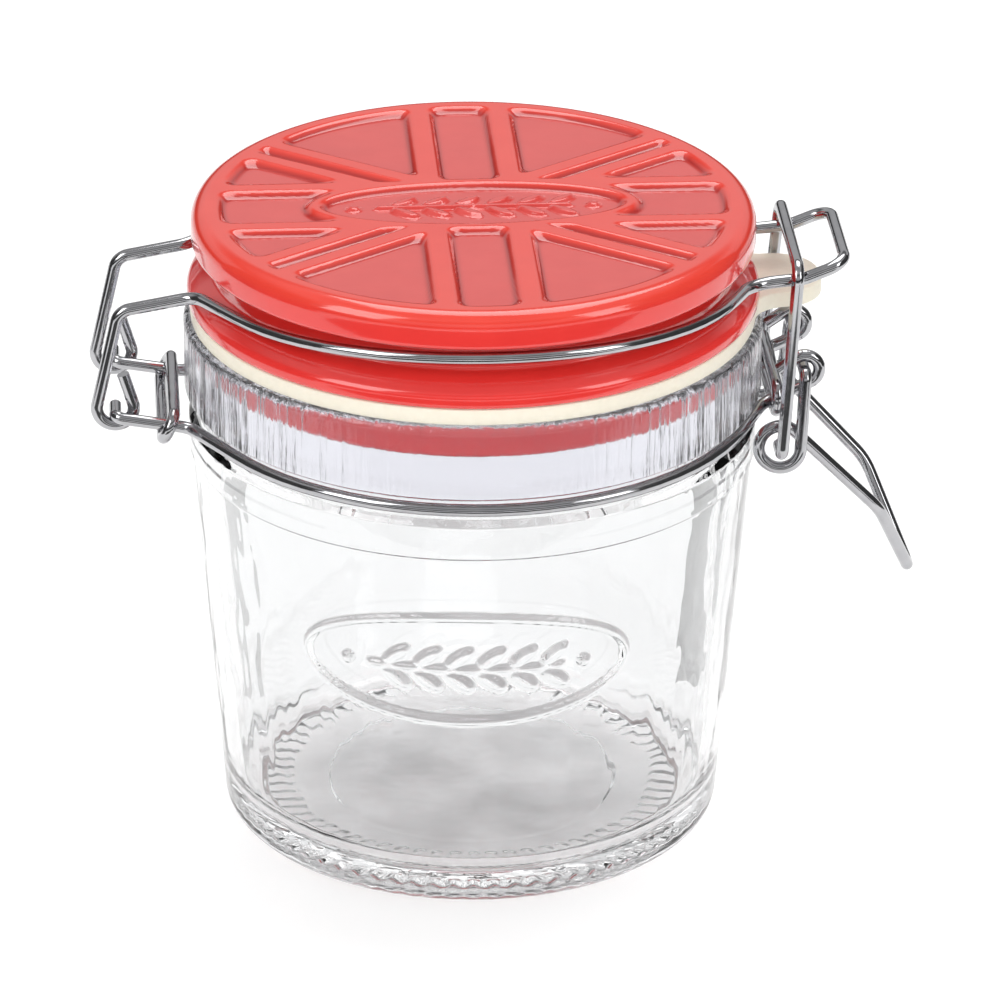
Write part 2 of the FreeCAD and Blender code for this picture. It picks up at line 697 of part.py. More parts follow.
def make_lid_wire():
    """One wire: a hinge eye, a leg, round the lid's waist to the nose, and the same back again."""
    spread = -size("hinge_spread")
    eye_radius = size("hinge_eye_radius")
    knee = FreeCAD.Vector(-size("hinge_corner_reach"), spread, size("hinge_corner_height"))
    tail = FreeCAD.Vector(-size("hinge_tail_reach"), spread, size("hinge_tail_height"))
    eye_centre = FreeCAD.Vector(-size("hinge_reach"), spread, size("hinge_eye_height"))
    enter = heading(eye_centre, tail) - tangent_angle(eye_centre, tail, eye_radius)
    leave = heading(eye_centre, knee) + tangent_angle(eye_centre, knee, eye_radius)
    eye = coil_corners(eye_centre.x, eye_centre.z, eye_radius, enter, leave - 360 - enter,
                       EYE_STEPS, spread, spread)
    radius = size("lid_wire_radius")
    hinge_turn = -size("lid_wire_turn")
    latch_turn = -size("latch_turn")

    def height_at(x):
        return size("lid_wire_crown") - size("lid_wire_drop") * (x / radius) ** 2

    hinge_side = tangent_corner(radius, hinge_turn, spread, 0)
    hinge_side.z = height_at(hinge_side.x)
    nose_y = -size("nose_spread")
    latch_side = tangent_corner(radius, latch_turn, nose_y, 0)
    latch_side.z = height_at(latch_side.x)
    kink = FreeCAD.Vector(size("nose_kink_reach"), nose_y, size("nose_level"))
    nose = FreeCAD.Vector(size("nose_reach"), nose_y, size("nose_height"))
    ring = ring_corners(radius, hinge_turn, latch_turn, RING_STEPS, height_at)
    front = [(tail, 0)] + eye + [(knee, size("hinge_corner_bend"))]
    front += [(hinge_side, size("hinge_side_bend"))] + ring + [(latch_side, size("latch_side_bend"))]
    front += [(kink, size("nose_kink_bend")), (nose, size("nose_bend"))]
    wire_form("lid_wire", front + mirrored(front))


def make_draw_loop():
    """The loop that the lever draws down: a bar across the nose, two strands and two pins."""
    bar_corner = FreeCAD.Vector(size("draw_bar_reach"), -size("draw_spread"), size("draw_bar_height"))
    foot = shifted(coil_centre, -size("draw_foot_spread"))
    pin_end = shifted(foot, foot.y + size("draw_pin_length"))
    front = [(pin_end, 0), (foot, size("pin_bend")), (bar_corner, size("draw_bend"))]
    wire_form("draw_loop", front + mirrored(front))


def make_lever():
    """The lever: hooks in the neck eyes, a coil each side for the draw loop, and a V-shaped handle."""
    hook = shifted(lever_pivot, -size("lever_spread"))
    hook_end = shifted(hook, hook.y + size("hook_length"))
    elbow = FreeCAD.Vector(size("elbow_reach"), -size("elbow_spread"), size("elbow_height"))
    tip = FreeCAD.Vector(size("tip_reach"), -size("tip_spread"), size("tip_height"))
    radius = size("coil_radius")
    enter = heading(coil_centre, hook) - tangent_angle(coil_centre, hook, radius)
    leave = heading(coil_centre, elbow) + tangent_angle(coil_centre, elbow, radius)
    sweep = leave - 360 - enter
    coil = coil_corners(coil_centre.x, coil_centre.z, radius, enter, sweep, COIL_STEPS,
                        -size("coil_spread"), -size("coil_spread") + size("coil_pitch"))
    front = [(hook_end, 0), (hook, size("hook_bend"))] + coil
    front += [(elbow, size("elbow_bend")), (tip, size("tip_bend"))]
    wire_form("lever", front + mirrored(front))


make_glass()
make_seal()
make_lid()
make_neck_wires()
make_lid_wire()
make_draw_loop()
make_lever()
doc.recompute()

for item in doc.Objects:
    if "Invalid" in item.State or "Error" in item.State:
        raise RuntimeError("%s failed: %s" % (item.Label, item.State))
for node in nodes:
    shape = node.Shape
    if shape.isNull() or not shape.isValid() or len(shape.Solids) != 1:
        raise RuntimeError("%s is not one valid solid" % node.Label)
    shape.exportStep("parts/%s.step" % node.Label)
    box = shape.BoundBox
    print("%-16s volume %9.1f mm3  x %.2f..%.2f  y %.2f..%.2f  z %.2f..%.2f" % (
        node.Label, shape.Volume, box.XMin, box.XMax, box.YMin, box.YMax, box.ZMin, box.ZMax))
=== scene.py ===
"""A clip-top jar, shut and latched: pressed glass, a glazed lid with raised ribs, a cream rubber
seal and bright sprung wire.

The jar's own pieces are worked out in millimetres about the glass axis, and become metres in the
meshes. Lengths in the materials and the places of the floor, lamps and cards are in metres.
"""

import math

import bpy
import numpy as np
from mathutils import Matrix, Vector


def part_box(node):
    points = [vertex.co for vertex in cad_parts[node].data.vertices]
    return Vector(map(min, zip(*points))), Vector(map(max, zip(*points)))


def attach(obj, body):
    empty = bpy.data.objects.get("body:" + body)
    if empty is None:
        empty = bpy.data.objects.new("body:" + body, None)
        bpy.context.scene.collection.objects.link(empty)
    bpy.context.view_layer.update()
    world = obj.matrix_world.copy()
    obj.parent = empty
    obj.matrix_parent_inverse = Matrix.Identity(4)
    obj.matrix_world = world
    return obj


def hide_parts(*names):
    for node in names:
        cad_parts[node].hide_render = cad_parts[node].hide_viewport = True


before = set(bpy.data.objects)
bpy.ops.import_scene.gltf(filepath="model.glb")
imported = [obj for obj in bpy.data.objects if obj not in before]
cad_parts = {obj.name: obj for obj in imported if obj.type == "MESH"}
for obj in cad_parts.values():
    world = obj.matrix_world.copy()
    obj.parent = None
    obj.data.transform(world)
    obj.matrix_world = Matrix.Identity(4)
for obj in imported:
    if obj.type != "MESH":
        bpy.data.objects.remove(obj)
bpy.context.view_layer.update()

MM = 0.001

# ------------------------------------------------------------------ sizes, as in the CAD part

GLASS_LOW, GLASS_HIGH = [corner / MM for corner in map(np.array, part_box("jar_glass"))]
AXIS_X = (GLASS_LOW[0] + GLASS_HIGH[0]) / 2

GLASS_HEIGHT = 86.7
BASE_RADIUS = 40.2
SHOULDER_RADIUS = 45.1
SHOULDER_BEAD = 0.45
BEAD_BOTTOM = 63.7
BAND_RADIUS = 46.2
BAND_BOTTOM = 74.6
NECK_DEPTH = 1.8
NECK_WIDTH = 3.6
GLASS_WALL = 3.0
MOUTH_RADIUS = 41.4
FLOOR = 5.0
STAND_RADIUS = 35.1
PUSH_UP = 1.3
PUSH_UP_EDGE = 33.8
PUSH_UP_STEP = 0.5
PUSH_UP_RADIUS = 23.6

SEAL_TOP = 89.4
SEAL_RADIUS = 45.1
SEAL_BORE = 40.9
TAB_TURN = 6.0
TAB_REACH = 56.4
TAB_HALF_WIDTH = 8.0
TAB_TIP_RADIUS = 7.0
TAB_ROOT_RADIUS = 6.0

PLUG_RADIUS = 40.4
PLUG_BOTTOM = SEAL_TOP - 9.8
FLANGE_RADIUS = 45.6
FLANGE_TOP = SEAL_TOP + 2.4
WAIST_RADIUS = 41.6
WAIST_BOTTOM = SEAL_TOP + 5.2
WAIST_TOP = SEAL_TOP + 8.9
CAP_RADIUS = 44.8
CAP_BOTTOM = SEAL_TOP + 9.7
LID_TOP = 104.8
LID_CEILING = LID_TOP - 5.6
HOLLOW_RADIUS = 34.5
RELIEF_RADIUS = 40.4
RELIEF_DEPTH = 0.9

WIRE_RADIUS = 1.0

# ------------------------------------------------------------------ shapes worked out as fields


def smoothstep(low, high, value):
    """0 below low, 1 above high, and a smooth rise between them."""
    share = np.clip((value - low) / (high - low), 0, 1)
    return share * share * (3 - 2 * share)


def smooth_least(values, blend):
    """The least of several fields, rounded where they meet."""
    least = values[0]
    for value in values[1:]:
        share = np.clip(0.5 + 0.5 * (value - least) / blend, 0, 1)
        least = value * (1 - share) + least * share - blend * share * (1 - share)
    return least


def oval_distance(x, y, half_length, half_width):
    """About how far points lie outside an oval; negative inside."""
    ratio = np.maximum(np.hypot(x / half_length, y / half_width), 1e-6)
    slope = np.hypot(x / half_length ** 2, y / half_width ** 2) / ratio
    return (ratio - 1) / np.maximum(slope, 1e-6)


# The twig's measures; an edge is the stretch over which a height falls to nothing.
LEAF_PAIRS = 6
LEAF_SPAN = 12.5
LEAF_TILT = math.radians(38)
LEAF_LENGTH, LEAF_WIDTH = 2.7, 1.15
LEAF_SHIFT, LEAF_RISE = 1.6, 2.2
LEAF_EDGE = (-0.5, 0.15)
STEM_EDGE, STEM_END = (0.2, 0.6), (15, 16)
DOT_PLACE, DOT_EDGE = 19, (0.6, 1.3)


def sprig(x, y):
    """A plain leafy twig with a dot at each end, as a height from 0 to 1."""
    height = (1 - smoothstep(*STEM_EDGE, np.abs(y))) * (1 - smoothstep(*STEM_END, np.abs(x)))
    for middle in np.linspace(-LEAF_SPAN, LEAF_SPAN, LEAF_PAIRS):
        dx, dy = x - middle - LEAF_SHIFT, np.abs(y) - LEAF_RISE
        lengthwise = dx * math.cos(LEAF_TILT) + dy * math.sin(LEAF_TILT)
        across = -dx * math.sin(LEAF_TILT) + dy * math.cos(LEAF_TILT)
        leaf = oval_distance(lengthwise, across, LEAF_LENGTH, LEAF_WIDTH)
        height = np.maximum(height, 1 - smoothstep(*LEAF_EDGE, leaf))
    for end in (-DOT_PLACE, DOT_PLACE):
        height = np.maximum(height, 1 - smoothstep(*DOT_EDGE, np.hypot(x - end, y)))
    return height


# ------------------------------------------------------------------ mesh and curve helpers

PROFILE_ARC_STEP = 12
FINE_STEP = 0.42


def place_object(name, data):
    """A new object in the scene's own collection."""
    placed = bpy.data.objects.new(name, data)
    bpy.context.scene.collection.objects.link(placed)
    return placed


def mesh_piece(name, vertices, faces, material):
    """A smooth mesh object from millimetre points about the glass axis."""
    points = (np.asarray(vertices, float) + (AXIS_X, 0, 0)) * MM
    mesh = bpy.data.meshes.new(name)
    mesh.from_pydata(points.tolist(), [], faces)
    mesh.validate()
    mesh.polygons.foreach_set("use_smooth", [True] * len(mesh.polygons))
    mesh.materials.append(material)
    return place_object(name, mesh)


def add_spline(curve, points, closed):
    """A polyline through millimetre points about the glass axis."""
    spline = curve.splines.new("POLY")
    spline.points.add(len(points) - 1)
    for place, (x, y, z) in zip(spline.points, points):
        place.co = ((x + AXIS_X) * MM, y * MM, z * MM, 1)
    spline.use_cyclic_u = closed


def rounded_profile(corners):
    """(radius, height) points along a profile of (radius, height, rounding) corners."""
    points = []
    last = len(corners) - 1
    for index, (r, z, rounding) in enumerate(corners):
        here = np.array((r, z), float)
        if rounding <= 0 or index in (0, last):
            points.append(here)
            continue
        back = np.array(corners[index - 1][:2], float) - here
        ahead = np.array(corners[index + 1][:2], float) - here
        back /= np.linalg.norm(back)
        ahead /= np.linalg.norm(ahead)
        half = math.acos(np.clip(back @ ahead, -1, 1)) / 2
        bisector = (back + ahead) / np.linalg.norm(back + ahead)
        centre = here + bisector * rounding / math.sin(half)
        start = here + back * rounding / math.tan(half) - centre
        end = here + ahead * rounding / math.tan(half) - centre
        first = math.atan2(start[1], start[0])
        turn = math.atan2(end[1], end[0]) - first
        turn = (turn + math.pi) % (2 * math.pi) - math.pi
        count = max(3, int(abs(math.degrees(turn)) / PROFILE_ARC_STEP) + 2)
        for share in np.linspace(0, 1, count):
            angle = first + share * turn
            points.append(centre + rounding * np.array((math.cos(angle), math.sin(angle))))
    return np.array(points)


def divided(points, longest, needs_detail):
    """The same profile with no run over the longest, or over FINE_STEP where detail is needed."""
    result = [points[0]]
    for start, end in zip(points[:-1], points[1:]):
        limit = FINE_STEP if needs_detail(*((start + end) / 2)) else longest
        count = max(1, math.ceil(np.linalg.norm(end - start) / limit))
        for share in np.arange(1, count + 1) / count:
            result.append(start + (end - start) * share)
    return np.array(result)


def lathe(profile, angles, shape):
    """Vertices and faces of a profile that runs from axis to axis, turned through all the angles.

    shape takes and returns the grid's radii and heights, and adds what isn't round. The two points
    on the axis come last among the vertices.
    """
    rows = profile[1:-1]
    ring_count = len(rows)
    columns = len(angles)
    r = np.repeat(rows[:, 0][:, None], columns, 1)
    z = np.repeat(rows[:, 1][:, None], columns, 1)
    a = np.repeat(angles[None, :], ring_count, 0)
    r, z = shape(r, z, a)
    grid = np.stack([r * np.cos(a), r * np.sin(a), z], -1).reshape(-1, 3)
    vertices = np.vstack([grid, (0, 0, profile[0][1]), (0, 0, profile[-1][1])])
    first_pole, last_pole = len(grid), len(grid) + 1
    faces = []
    for row in range(ring_count - 1):
        low, high = row * columns, (row + 1) * columns
        for column in range(columns):
            after = (column + 1) % columns
            faces.append((low + column, low + after, high + after, high + column))
    top = (ring_count - 1) * columns
    for column in range(columns):
        after = (column + 1) % columns
        faces.append((after, column, first_pole))
        faces.append((top + column, top + after, last_pole))
    return vertices, faces


# ------------------------------------------------------------------ node helpers


def new_material(name):
    """A node material, its node tree and its shader."""
    material = bpy.data.materials.new(name)
    material.use_nodes = True
    tree = material.node_tree
    return material, tree, tree.nodes["Principled BSDF"]


def set_inputs(node, values):
    """Gives inputs of a node, by name, the numbers and colours that are the same all over."""
    for name, value in values.items():
        node.inputs[name].default_value = value


def link_inputs(tree, node, sockets):
    """Links inputs of a node, by name, to what varies over the surface."""
    for name, socket in sockets.items():
        tree.links.new(socket, node.inputs[name])


def object_place(tree):
    """A point's place in metres."""
    return tree.nodes.new("ShaderNodeTexCoord").outputs["Object"]


def height_in(tree, vector):
    """The Z part of a vector."""
    parts = tree.nodes.new("ShaderNodeSeparateXYZ")
    tree.links.new(vector, parts.inputs["Vector"])
    return parts.outputs["Z"]


def drawn_out(tree, vector, height_scale):
    """The same place with its heights scaled, which draws a pattern out upwards."""
    mapping = tree.nodes.new("ShaderNodeMapping")
    mapping.inputs["Scale"].default_value = (1, 1, height_scale)
    tree.links.new(vector, mapping.inputs["Vector"])
    return mapping.outputs["Vector"]


def point_value(tree, name):
    """A named number that the mesh holds at each point."""
    attribute = tree.nodes.new("ShaderNodeAttribute")
    attribute.attribute_name = name
    return attribute.outputs["Fac"]


def combined(tree, operation, first, second):
    """The result of a Math node on two sockets."""
    node = tree.nodes.new("ShaderNodeMath")
    node.operation = operation
    tree.links.new(first, node.inputs[0])
    tree.links.new(second, node.inputs[1])
    return node.outputs["Value"]


def mix_colours(tree, factor, low, high):
    """A colour mix whose factor is a socket; low and high are colours or sockets."""
    mix = tree.nodes.new("ShaderNodeMix")
    mix.data_type = "RGBA"
    tree.links.new(factor, mix.inputs["Factor"])
    for name, value in (("A", low), ("B", high)):
        if isinstance(value, tuple):
            mix.inputs[name].default_value = (*value, 1)
        else:
            tree.links.new(value, mix.inputs[name])
    return mix.outputs["Result"]


def map_range(tree, value, source, target):
    """A socket's value carried from one range, as (low, high), to another."""
    node = tree.nodes.new("ShaderNodeMapRange")
    names = ("From Min", "From Max", "To Min", "To Max")
    set_inputs(node, dict(zip(names, (*source, *target))))
    tree.links.new(value, node.inputs["Value"])
    return node.outputs["Result"]


def add_noise(tree, vector, scale, detail):
    """Noise at a place, about 0.5 on average."""
    noise = tree.nodes.new("ShaderNodeTexNoise")
    set_inputs(noise, {"Scale": scale, "Detail": detail})
    tree.links.new(vector, noise.inputs["Vector"])
    return noise.outputs["Fac"]


def add_bump(tree, height, strength, distance, before=None):
    """A normal bent by a height, on top of the one before it."""
    bump = tree.nodes.new("ShaderNodeBump")
    set_inputs(bump, {"Strength": strength, "Distance": distance})
    tree.links.new(height, bump.inputs["Height"])
    if before is not None:
        tree.links.new(before, bump.inputs["Normal"])
    return bump.outputs["Normal"]


# ------------------------------------------------------------------ materials

FINISH_START = (0.0715, 0.0745)
GLASS_BODY = (0.915, 0.922, 0.925)
GLASS_FINISH = (0.80, 0.80, 0.86)
FINISH_ROUGHNESS = 0.12


def glass_material():
    """Clear pressed glass: wavy on the body, finely streaked and slightly frosted at the finish."""
    material, tree, shader = new_material("pressed_glass")
    where = object_place(tree)
    at_finish = map_range(tree, height_in(tree, where), FINISH_START, (0, 1))
    waves = add_noise(tree, drawn_out(tree, where, 0.35), scale=55, detail=3)
    streaks = add_noise(tree, drawn_out(tree, where, 0.08), scale=520, detail=3)
    streaks = combined(tree, "MULTIPLY", streaks, at_finish)
    normal = add_bump(tree, waves, strength=0.5, distance=0.0011)
    normal = add_bump(tree, streaks, strength=0.8, distance=0.0006, before=normal)
    set_inputs(shader, {"Transmission Weight": 1, "IOR": 1.5})
    link_inputs(tree, shader, {
        "Base Color": mix_colours(tree, at_finish, GLASS_BODY, GLASS_FINISH),
        "Roughness": map_range(tree, at_finish, (0, 1), (0, FINISH_ROUGHNESS)),
        "Normal": normal,
    })
    return material


# Each glaze runs between two colours, with the mottle.
GLAZE_SIDE = (0.64, 0.024, 0.021), (0.73, 0.034, 0.028)
GLAZE_TOP = (0.66, 0.038, 0.024), (0.73, 0.055, 0.034)
# The sunk fields' colour is partly pooled glaze and partly a painted pinkish sheen.
GLAZE_POOL_AND_SHEEN = (0.56, 0.040, 0.034), (0.65, 0.060, 0.050)
# Painted shade: the dark red laid along the creases at the foot of the ribs.
GLAZE_CREASE_PAINTED_SHADE = (0.27, 0.008, 0.010)


def glaze_material():
    """Mottled red glaze: more orange on the top; paler in its sunk fields, partly pooled glaze and
    partly a painted sheen; painted shade along the creases at the foot of the ribs.
    """
    material, tree, shader = new_material("red_glaze")
    where = object_place(tree)
    mottle = add_noise(tree, where, scale=140, detail=3)
    side, top, pool_and_sheen = [mix_colours(tree, mottle, *pair)
                       for pair in (GLAZE_SIDE, GLAZE_TOP, GLAZE_POOL_AND_SHEEN)]
    colour = mix_colours(tree, point_value(tree, "glaze_raised"), side, top)
    # Pooled glaze with a painted sheen in the sunk fields.
    colour = mix_colours(tree, point_value(tree, "glaze_pooled_and_sheen"), colour, pool_and_sheen)
    # Painted shade along the creases at the foot of the ribs.
    colour = mix_colours(tree, point_value(tree, "crease_painted_shade"), colour, GLAZE_CREASE_PAINTED_SHADE)
    waves = add_noise(tree, where, scale=60, detail=2)
    normal = add_bump(tree, waves, strength=0.2, distance=0.0008)
    set_inputs(shader, {"Roughness": 0.16, "Coat Weight": 0.7, "Coat Roughness": 0.04})
    link_inputs(tree, shader, {"Base Color": colour, "Normal": normal, "Coat Normal": normal})
    return material


def rubber_material():
    """Matt cream rubber with a fine grain."""
    material, tree, shader = new_material("cream_rubber")
    grain = add_noise(tree, object_place(tree), scale=900, detail=4)
    set_inputs(shader, {"Roughness": 0.55, "Subsurface Weight": 0.1,
                        "Subsurface Radius": (0.002, 0.0015, 0.001)})
    link_inputs(tree, shader, {
        "Base Color": mix_colours(tree, grain, (0.74, 0.69, 0.57), (0.83, 0.78, 0.66)),
        "Normal": add_bump(tree, grain, strength=0.15, distance=0.0002),
    })
    return material


def wire_material():
    """Bright plated wire, a little uneven in tone and gloss."""
    material, tree, shader = new_material("bright_wire")
    marks = add_noise(tree, object_place(tree), scale=350, detail=5)
    set_inputs(shader, {"Metallic": 1})
    link_inputs(tree, shader, {
        "Base Color": mix_colours(tree, marks, (0.40, 0.40, 0.42), (0.56, 0.56, 0.57)),
        "Roughness": map_range(tree, marks, (0, 1), (0.05, 0.16)),
    })
    return material


GLASS = glass_material()
GLAZE = glaze_material()
RUBBER = rubber_material()
WIRE = wire_material()

# ------------------------------------------------------------------ glass jar

FOOT_LIFT = 0.02
GLASS_STEP = 2.4
EMBLEM_ANGLE = -95.0
EMBLEM_HEIGHT = 44.0
EMBLEM_RELIEF = 0.65
# Half length and half width of the oval and of the field it stands in, and where its line fades.
EMBLEM_OVAL = 26.5, 9.4
EMBLEM_REACH = 29, 11
EMBLEM_LINE = 0.35, 0.85
EMBLEM_ZONE = 12
TWIG_SQUASH = 1.05
FINE_HALF_ANGLE, FINE_ANGLE = 41, 0.5
OTHER_COLUMNS = 200
HEEL_RIDGES = 66
HEEL_RIDGE_DEPTH = 0.5
RIDGE_START, RIDGE_END = (28.5, 30.5), (33.0, 34.2)
RIDGE_ZONE = 28, 34.5
UNDERSIDE = 1.5


def glass_outline():
    """The outer wall, the lip and the inner wall, as (radius, height, rounding) corners."""
    taper = (SHOULDER_RADIUS - BASE_RADIUS) / BEAD_BOTTOM
    neck_low = BAND_BOTTOM - NECK_WIDTH
    bead = SHOULDER_RADIUS + SHOULDER_BEAD
    neck = BAND_RADIUS - NECK_DEPTH
    slope_foot = neck_low - NECK_DEPTH + 0.1
    slope_top = neck_low - 0.5
    return [
        (0, PUSH_UP + PUSH_UP_STEP, 0),
        (PUSH_UP_RADIUS, PUSH_UP + PUSH_UP_STEP, 0.4),
        (PUSH_UP_RADIUS + PUSH_UP_STEP, PUSH_UP, 0.4),
        (PUSH_UP_EDGE, PUSH_UP, 1.0),
        (STAND_RADIUS, FOOT_LIFT, 0.8),
        (BASE_RADIUS, FOOT_LIFT, 2.8),
        (SHOULDER_RADIUS, BEAD_BOTTOM, 0.25),
        (bead, BEAD_BOTTOM + SHOULDER_BEAD, 0.4),
        (bead, slope_foot, 0.7),
        (neck, slope_top, 0.6),
        (neck, BAND_BOTTOM - NECK_DEPTH / 2, 0.6),
        (BAND_RADIUS, BAND_BOTTOM, 0.5),
        (BAND_RADIUS, GLASS_HEIGHT, 1.5),
        (MOUTH_RADIUS, GLASS_HEIGHT, 1.5),
        (MOUTH_RADIUS, BEAD_BOTTOM, 4.0),
        (BASE_RADIUS - GLASS_WALL + FLOOR * taper, FLOOR, 5.0),
        (0, FLOOR, 0),
    ]


def emblem_and_ridges(r, z, a):
    """Raises the emblem on the front, and hollows the short ridges under the heel."""
    across = (a - math.radians(EMBLEM_ANGLE)) * r
    high = z - EMBLEM_HEIGHT
    edge = np.abs(oval_distance(across, high, *EMBLEM_OVAL))
    relief = np.maximum(1 - smoothstep(*EMBLEM_LINE, edge), sprig(across, high * TWIG_SQUASH))
    wide, tall = EMBLEM_REACH
    on_front = (r > MOUTH_RADIUS) * (np.abs(high) < tall) * (np.abs(across) < wide)
    under = (z < UNDERSIDE) * smoothstep(*RIDGE_START, r) * (1 - smoothstep(*RIDGE_END, r))
    ridge = 0.5 + 0.5 * np.cos(a * HEEL_RIDGES)
    return r + relief * on_front * EMBLEM_RELIEF, z + under * ridge * HEEL_RIDGE_DEPTH


def glass_piece():
    """The pressed jar as one closed skin, with finer faces at the emblem and the ridges."""
    def needs_detail(r, z):
        at_emblem = r > MOUTH_RADIUS and abs(z - EMBLEM_HEIGHT) < EMBLEM_ZONE
        at_ridges = z < UNDERSIDE and RIDGE_ZONE[0] < r < RIDGE_ZONE[1]
        return at_emblem or at_ridges

    profile = divided(rounded_profile(glass_outline()), GLASS_STEP, needs_detail)
    facing = EMBLEM_ANGLE + np.arange(-FINE_HALF_ANGLE, FINE_HALF_ANGLE, FINE_ANGLE)
    around = np.linspace(facing[-1], facing[0] + 360, OTHER_COLUMNS, endpoint=False)[1:]
    angles = np.radians(np.concatenate([facing, around]))
    vertices, faces = lathe(profile, angles, emblem_and_ridges)
    return mesh_piece("glass_jar", vertices, faces, GLASS)


jar = glass_piece()
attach(jar, "jar")
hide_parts("jar_glass")
# The glass casts no shadow; a painted shade in the floor's colour stands for it.
jar.visible_shadow = False

# ------------------------------------------------------------------ lid

# Half widths of the cross's upright and level fields, and the width of the ribs beside them.
POST_FIELD, ARM_FIELD, RIB = 4.9, 6.2, 3.2
DIAGONAL_GROOVE, DIAGONAL_ANGLE = 1.1, math.radians(36.0)
OVAL, OVAL_FRAME = (26.0, 10.0), 1.8
FIELD_BLEND, GROOVE_BLEND = 2.2, 0.5
RIB_FLANK = -0.35, 1.15
POOL_EDGE = 0.3, 1.6
TWIG_HEIGHT = 0.6
TOP_MARGIN = 0.01
TOP_GLAZE_START = LID_TOP - 3.2, LID_TOP - 0.8
# Painted shade in the creases: its strength, its place inside each sunk field's edge, its width and
# the lowest height it reaches.
CREASE_SHADE_STRENGTH, CREASE_PLACE, CREASE_WIDTH = 0.75, 0.75, 0.45
CREASE_LOWEST = LID_TOP - 1.2
LID_STEP, LID_ANGLE_STEP = 3.0, 0.7


def pool_depth(x, y):
    """How far a point on the lid's top lies inside a sunk field; negative on the ribs."""
    radius = np.hypot(x, y)
    x, y = np.abs(x), np.abs(y)
    across = y * math.cos(DIAGONAL_ANGLE) - x * math.sin(DIAGONAL_ANGLE)
    outside_post, outside_arm = x - POST_FIELD - RIB, y - ARM_FIELD - RIB
    oval = oval_distance(x, y, *OVAL)
    bounds = [RELIEF_RADIUS - radius, oval]
    rib_side = DIAGONAL_GROOVE + RIB
    in_groove = DIAGONAL_GROOVE - np.abs(across)
    fields = [
        smooth_least([POST_FIELD - x] + bounds, FIELD_BLEND),
        smooth_least([ARM_FIELD - y] + bounds, FIELD_BLEND),
        smooth_least([outside_post, across - rib_side] + bounds, FIELD_BLEND),
        smooth_least([outside_arm, -across - rib_side] + bounds, FIELD_BLEND),
        smooth_least([in_groove, outside_post, outside_arm] + bounds, GROOVE_BLEND),
        -oval - OVAL_FRAME,
    ]
    return np.max(fields, axis=0)


def relief_height(x, y):
    """The relief's height over its floor, from 0 to 1."""
    raised = 1 - smoothstep(*RIB_FLANK, pool_depth(x, y))
    twig = TWIG_HEIGHT * sprig(x, y) * (oval_distance(x, y, *OVAL) < -OVAL_FRAME)
    return np.maximum(raised, twig)


def mark_glaze(piece, vertices):
    """Tells the glaze, point by point, of the lid's top, its sunk fields with their pooled glaze
    and painted sheen, and the painted shade in their creases.
    """
    x, y, z = vertices.T
    inside = pool_depth(x, y)
    on_top = smoothstep(*TOP_GLAZE_START, z)
    # Painted shade, strongest a little inside each sunk field's edge.
    crease_shade = CREASE_SHADE_STRENGTH * np.exp(-((inside - CREASE_PLACE) / CREASE_WIDTH) ** 2)
    marks = {
        "glaze_raised": on_top,
        "glaze_pooled_and_sheen": smoothstep(*POOL_EDGE, inside) * on_top,
        "crease_painted_shade": crease_shade * (z > CREASE_LOWEST),
    }
    for name, values in marks.items():
        attribute = piece.data.attributes.new(name, "FLOAT", "POINT")
        attribute.data.foreach_set("value", values.astype(np.float32))


def lid_piece():
    """The hollow plug, flange, waist and cap as one closed skin, with the relief in its top."""
    outline = [
        (0, LID_CEILING, 0),
        (HOLLOW_RADIUS, LID_CEILING, 3.0),
        (HOLLOW_RADIUS, PLUG_BOTTOM, 1.0),
        (PLUG_RADIUS, PLUG_BOTTOM, 1.3),
        (PLUG_RADIUS, SEAL_TOP, 0.3),
        (FLANGE_RADIUS, SEAL_TOP, 1.0),
        (FLANGE_RADIUS, FLANGE_TOP, 1.6),
        (WAIST_RADIUS, WAIST_BOTTOM, 0.9),
        (WAIST_RADIUS, WAIST_TOP, 0.9),
        (CAP_RADIUS, CAP_BOTTOM, 1.1),
        (CAP_RADIUS, LID_TOP, 2.6),
        (0, LID_TOP, 0),
    ]

    def on_top(r, z):
        return z > LID_TOP - TOP_MARGIN

    def sunk_top(r, z, a):
        depth = (1 - relief_height(r * np.cos(a), r * np.sin(a))) * RELIEF_DEPTH
        return r, z - depth * on_top(r, z)

    profile = divided(rounded_profile(outline), LID_STEP, on_top)
    angles = np.radians(np.arange(0, 360, LID_ANGLE_STEP))
    vertices, faces = lathe(profile, angles, sunk_top)
    # The point on the axis is in no ring, so it is lowered by itself.
    vertices[-1][2] -= RELIEF_DEPTH * (1 - relief_height(np.zeros(1), np.zeros(1))[0])
    piece = mesh_piece("lid_body", vertices, faces, GLAZE)
    mark_glaze(piece, vertices)
    return piece


lid = lid_piece()
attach(lid, "jar")
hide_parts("lid")

# ------------------------------------------------------------------ seal

SEAL_ROUNDING = 0.3
SEAL_POINTS, TAB_ROOT_POINTS, TAB_TIP_POINTS = 181, 10, 12


def arc(centre, radius, start, end, count):
    """Points of an arc, from one angle to another, both included."""
    return [(centre[0] + radius * math.cos(a), centre[1] + radius * math.sin(a))
            for a in np.linspace(start, end, count)]


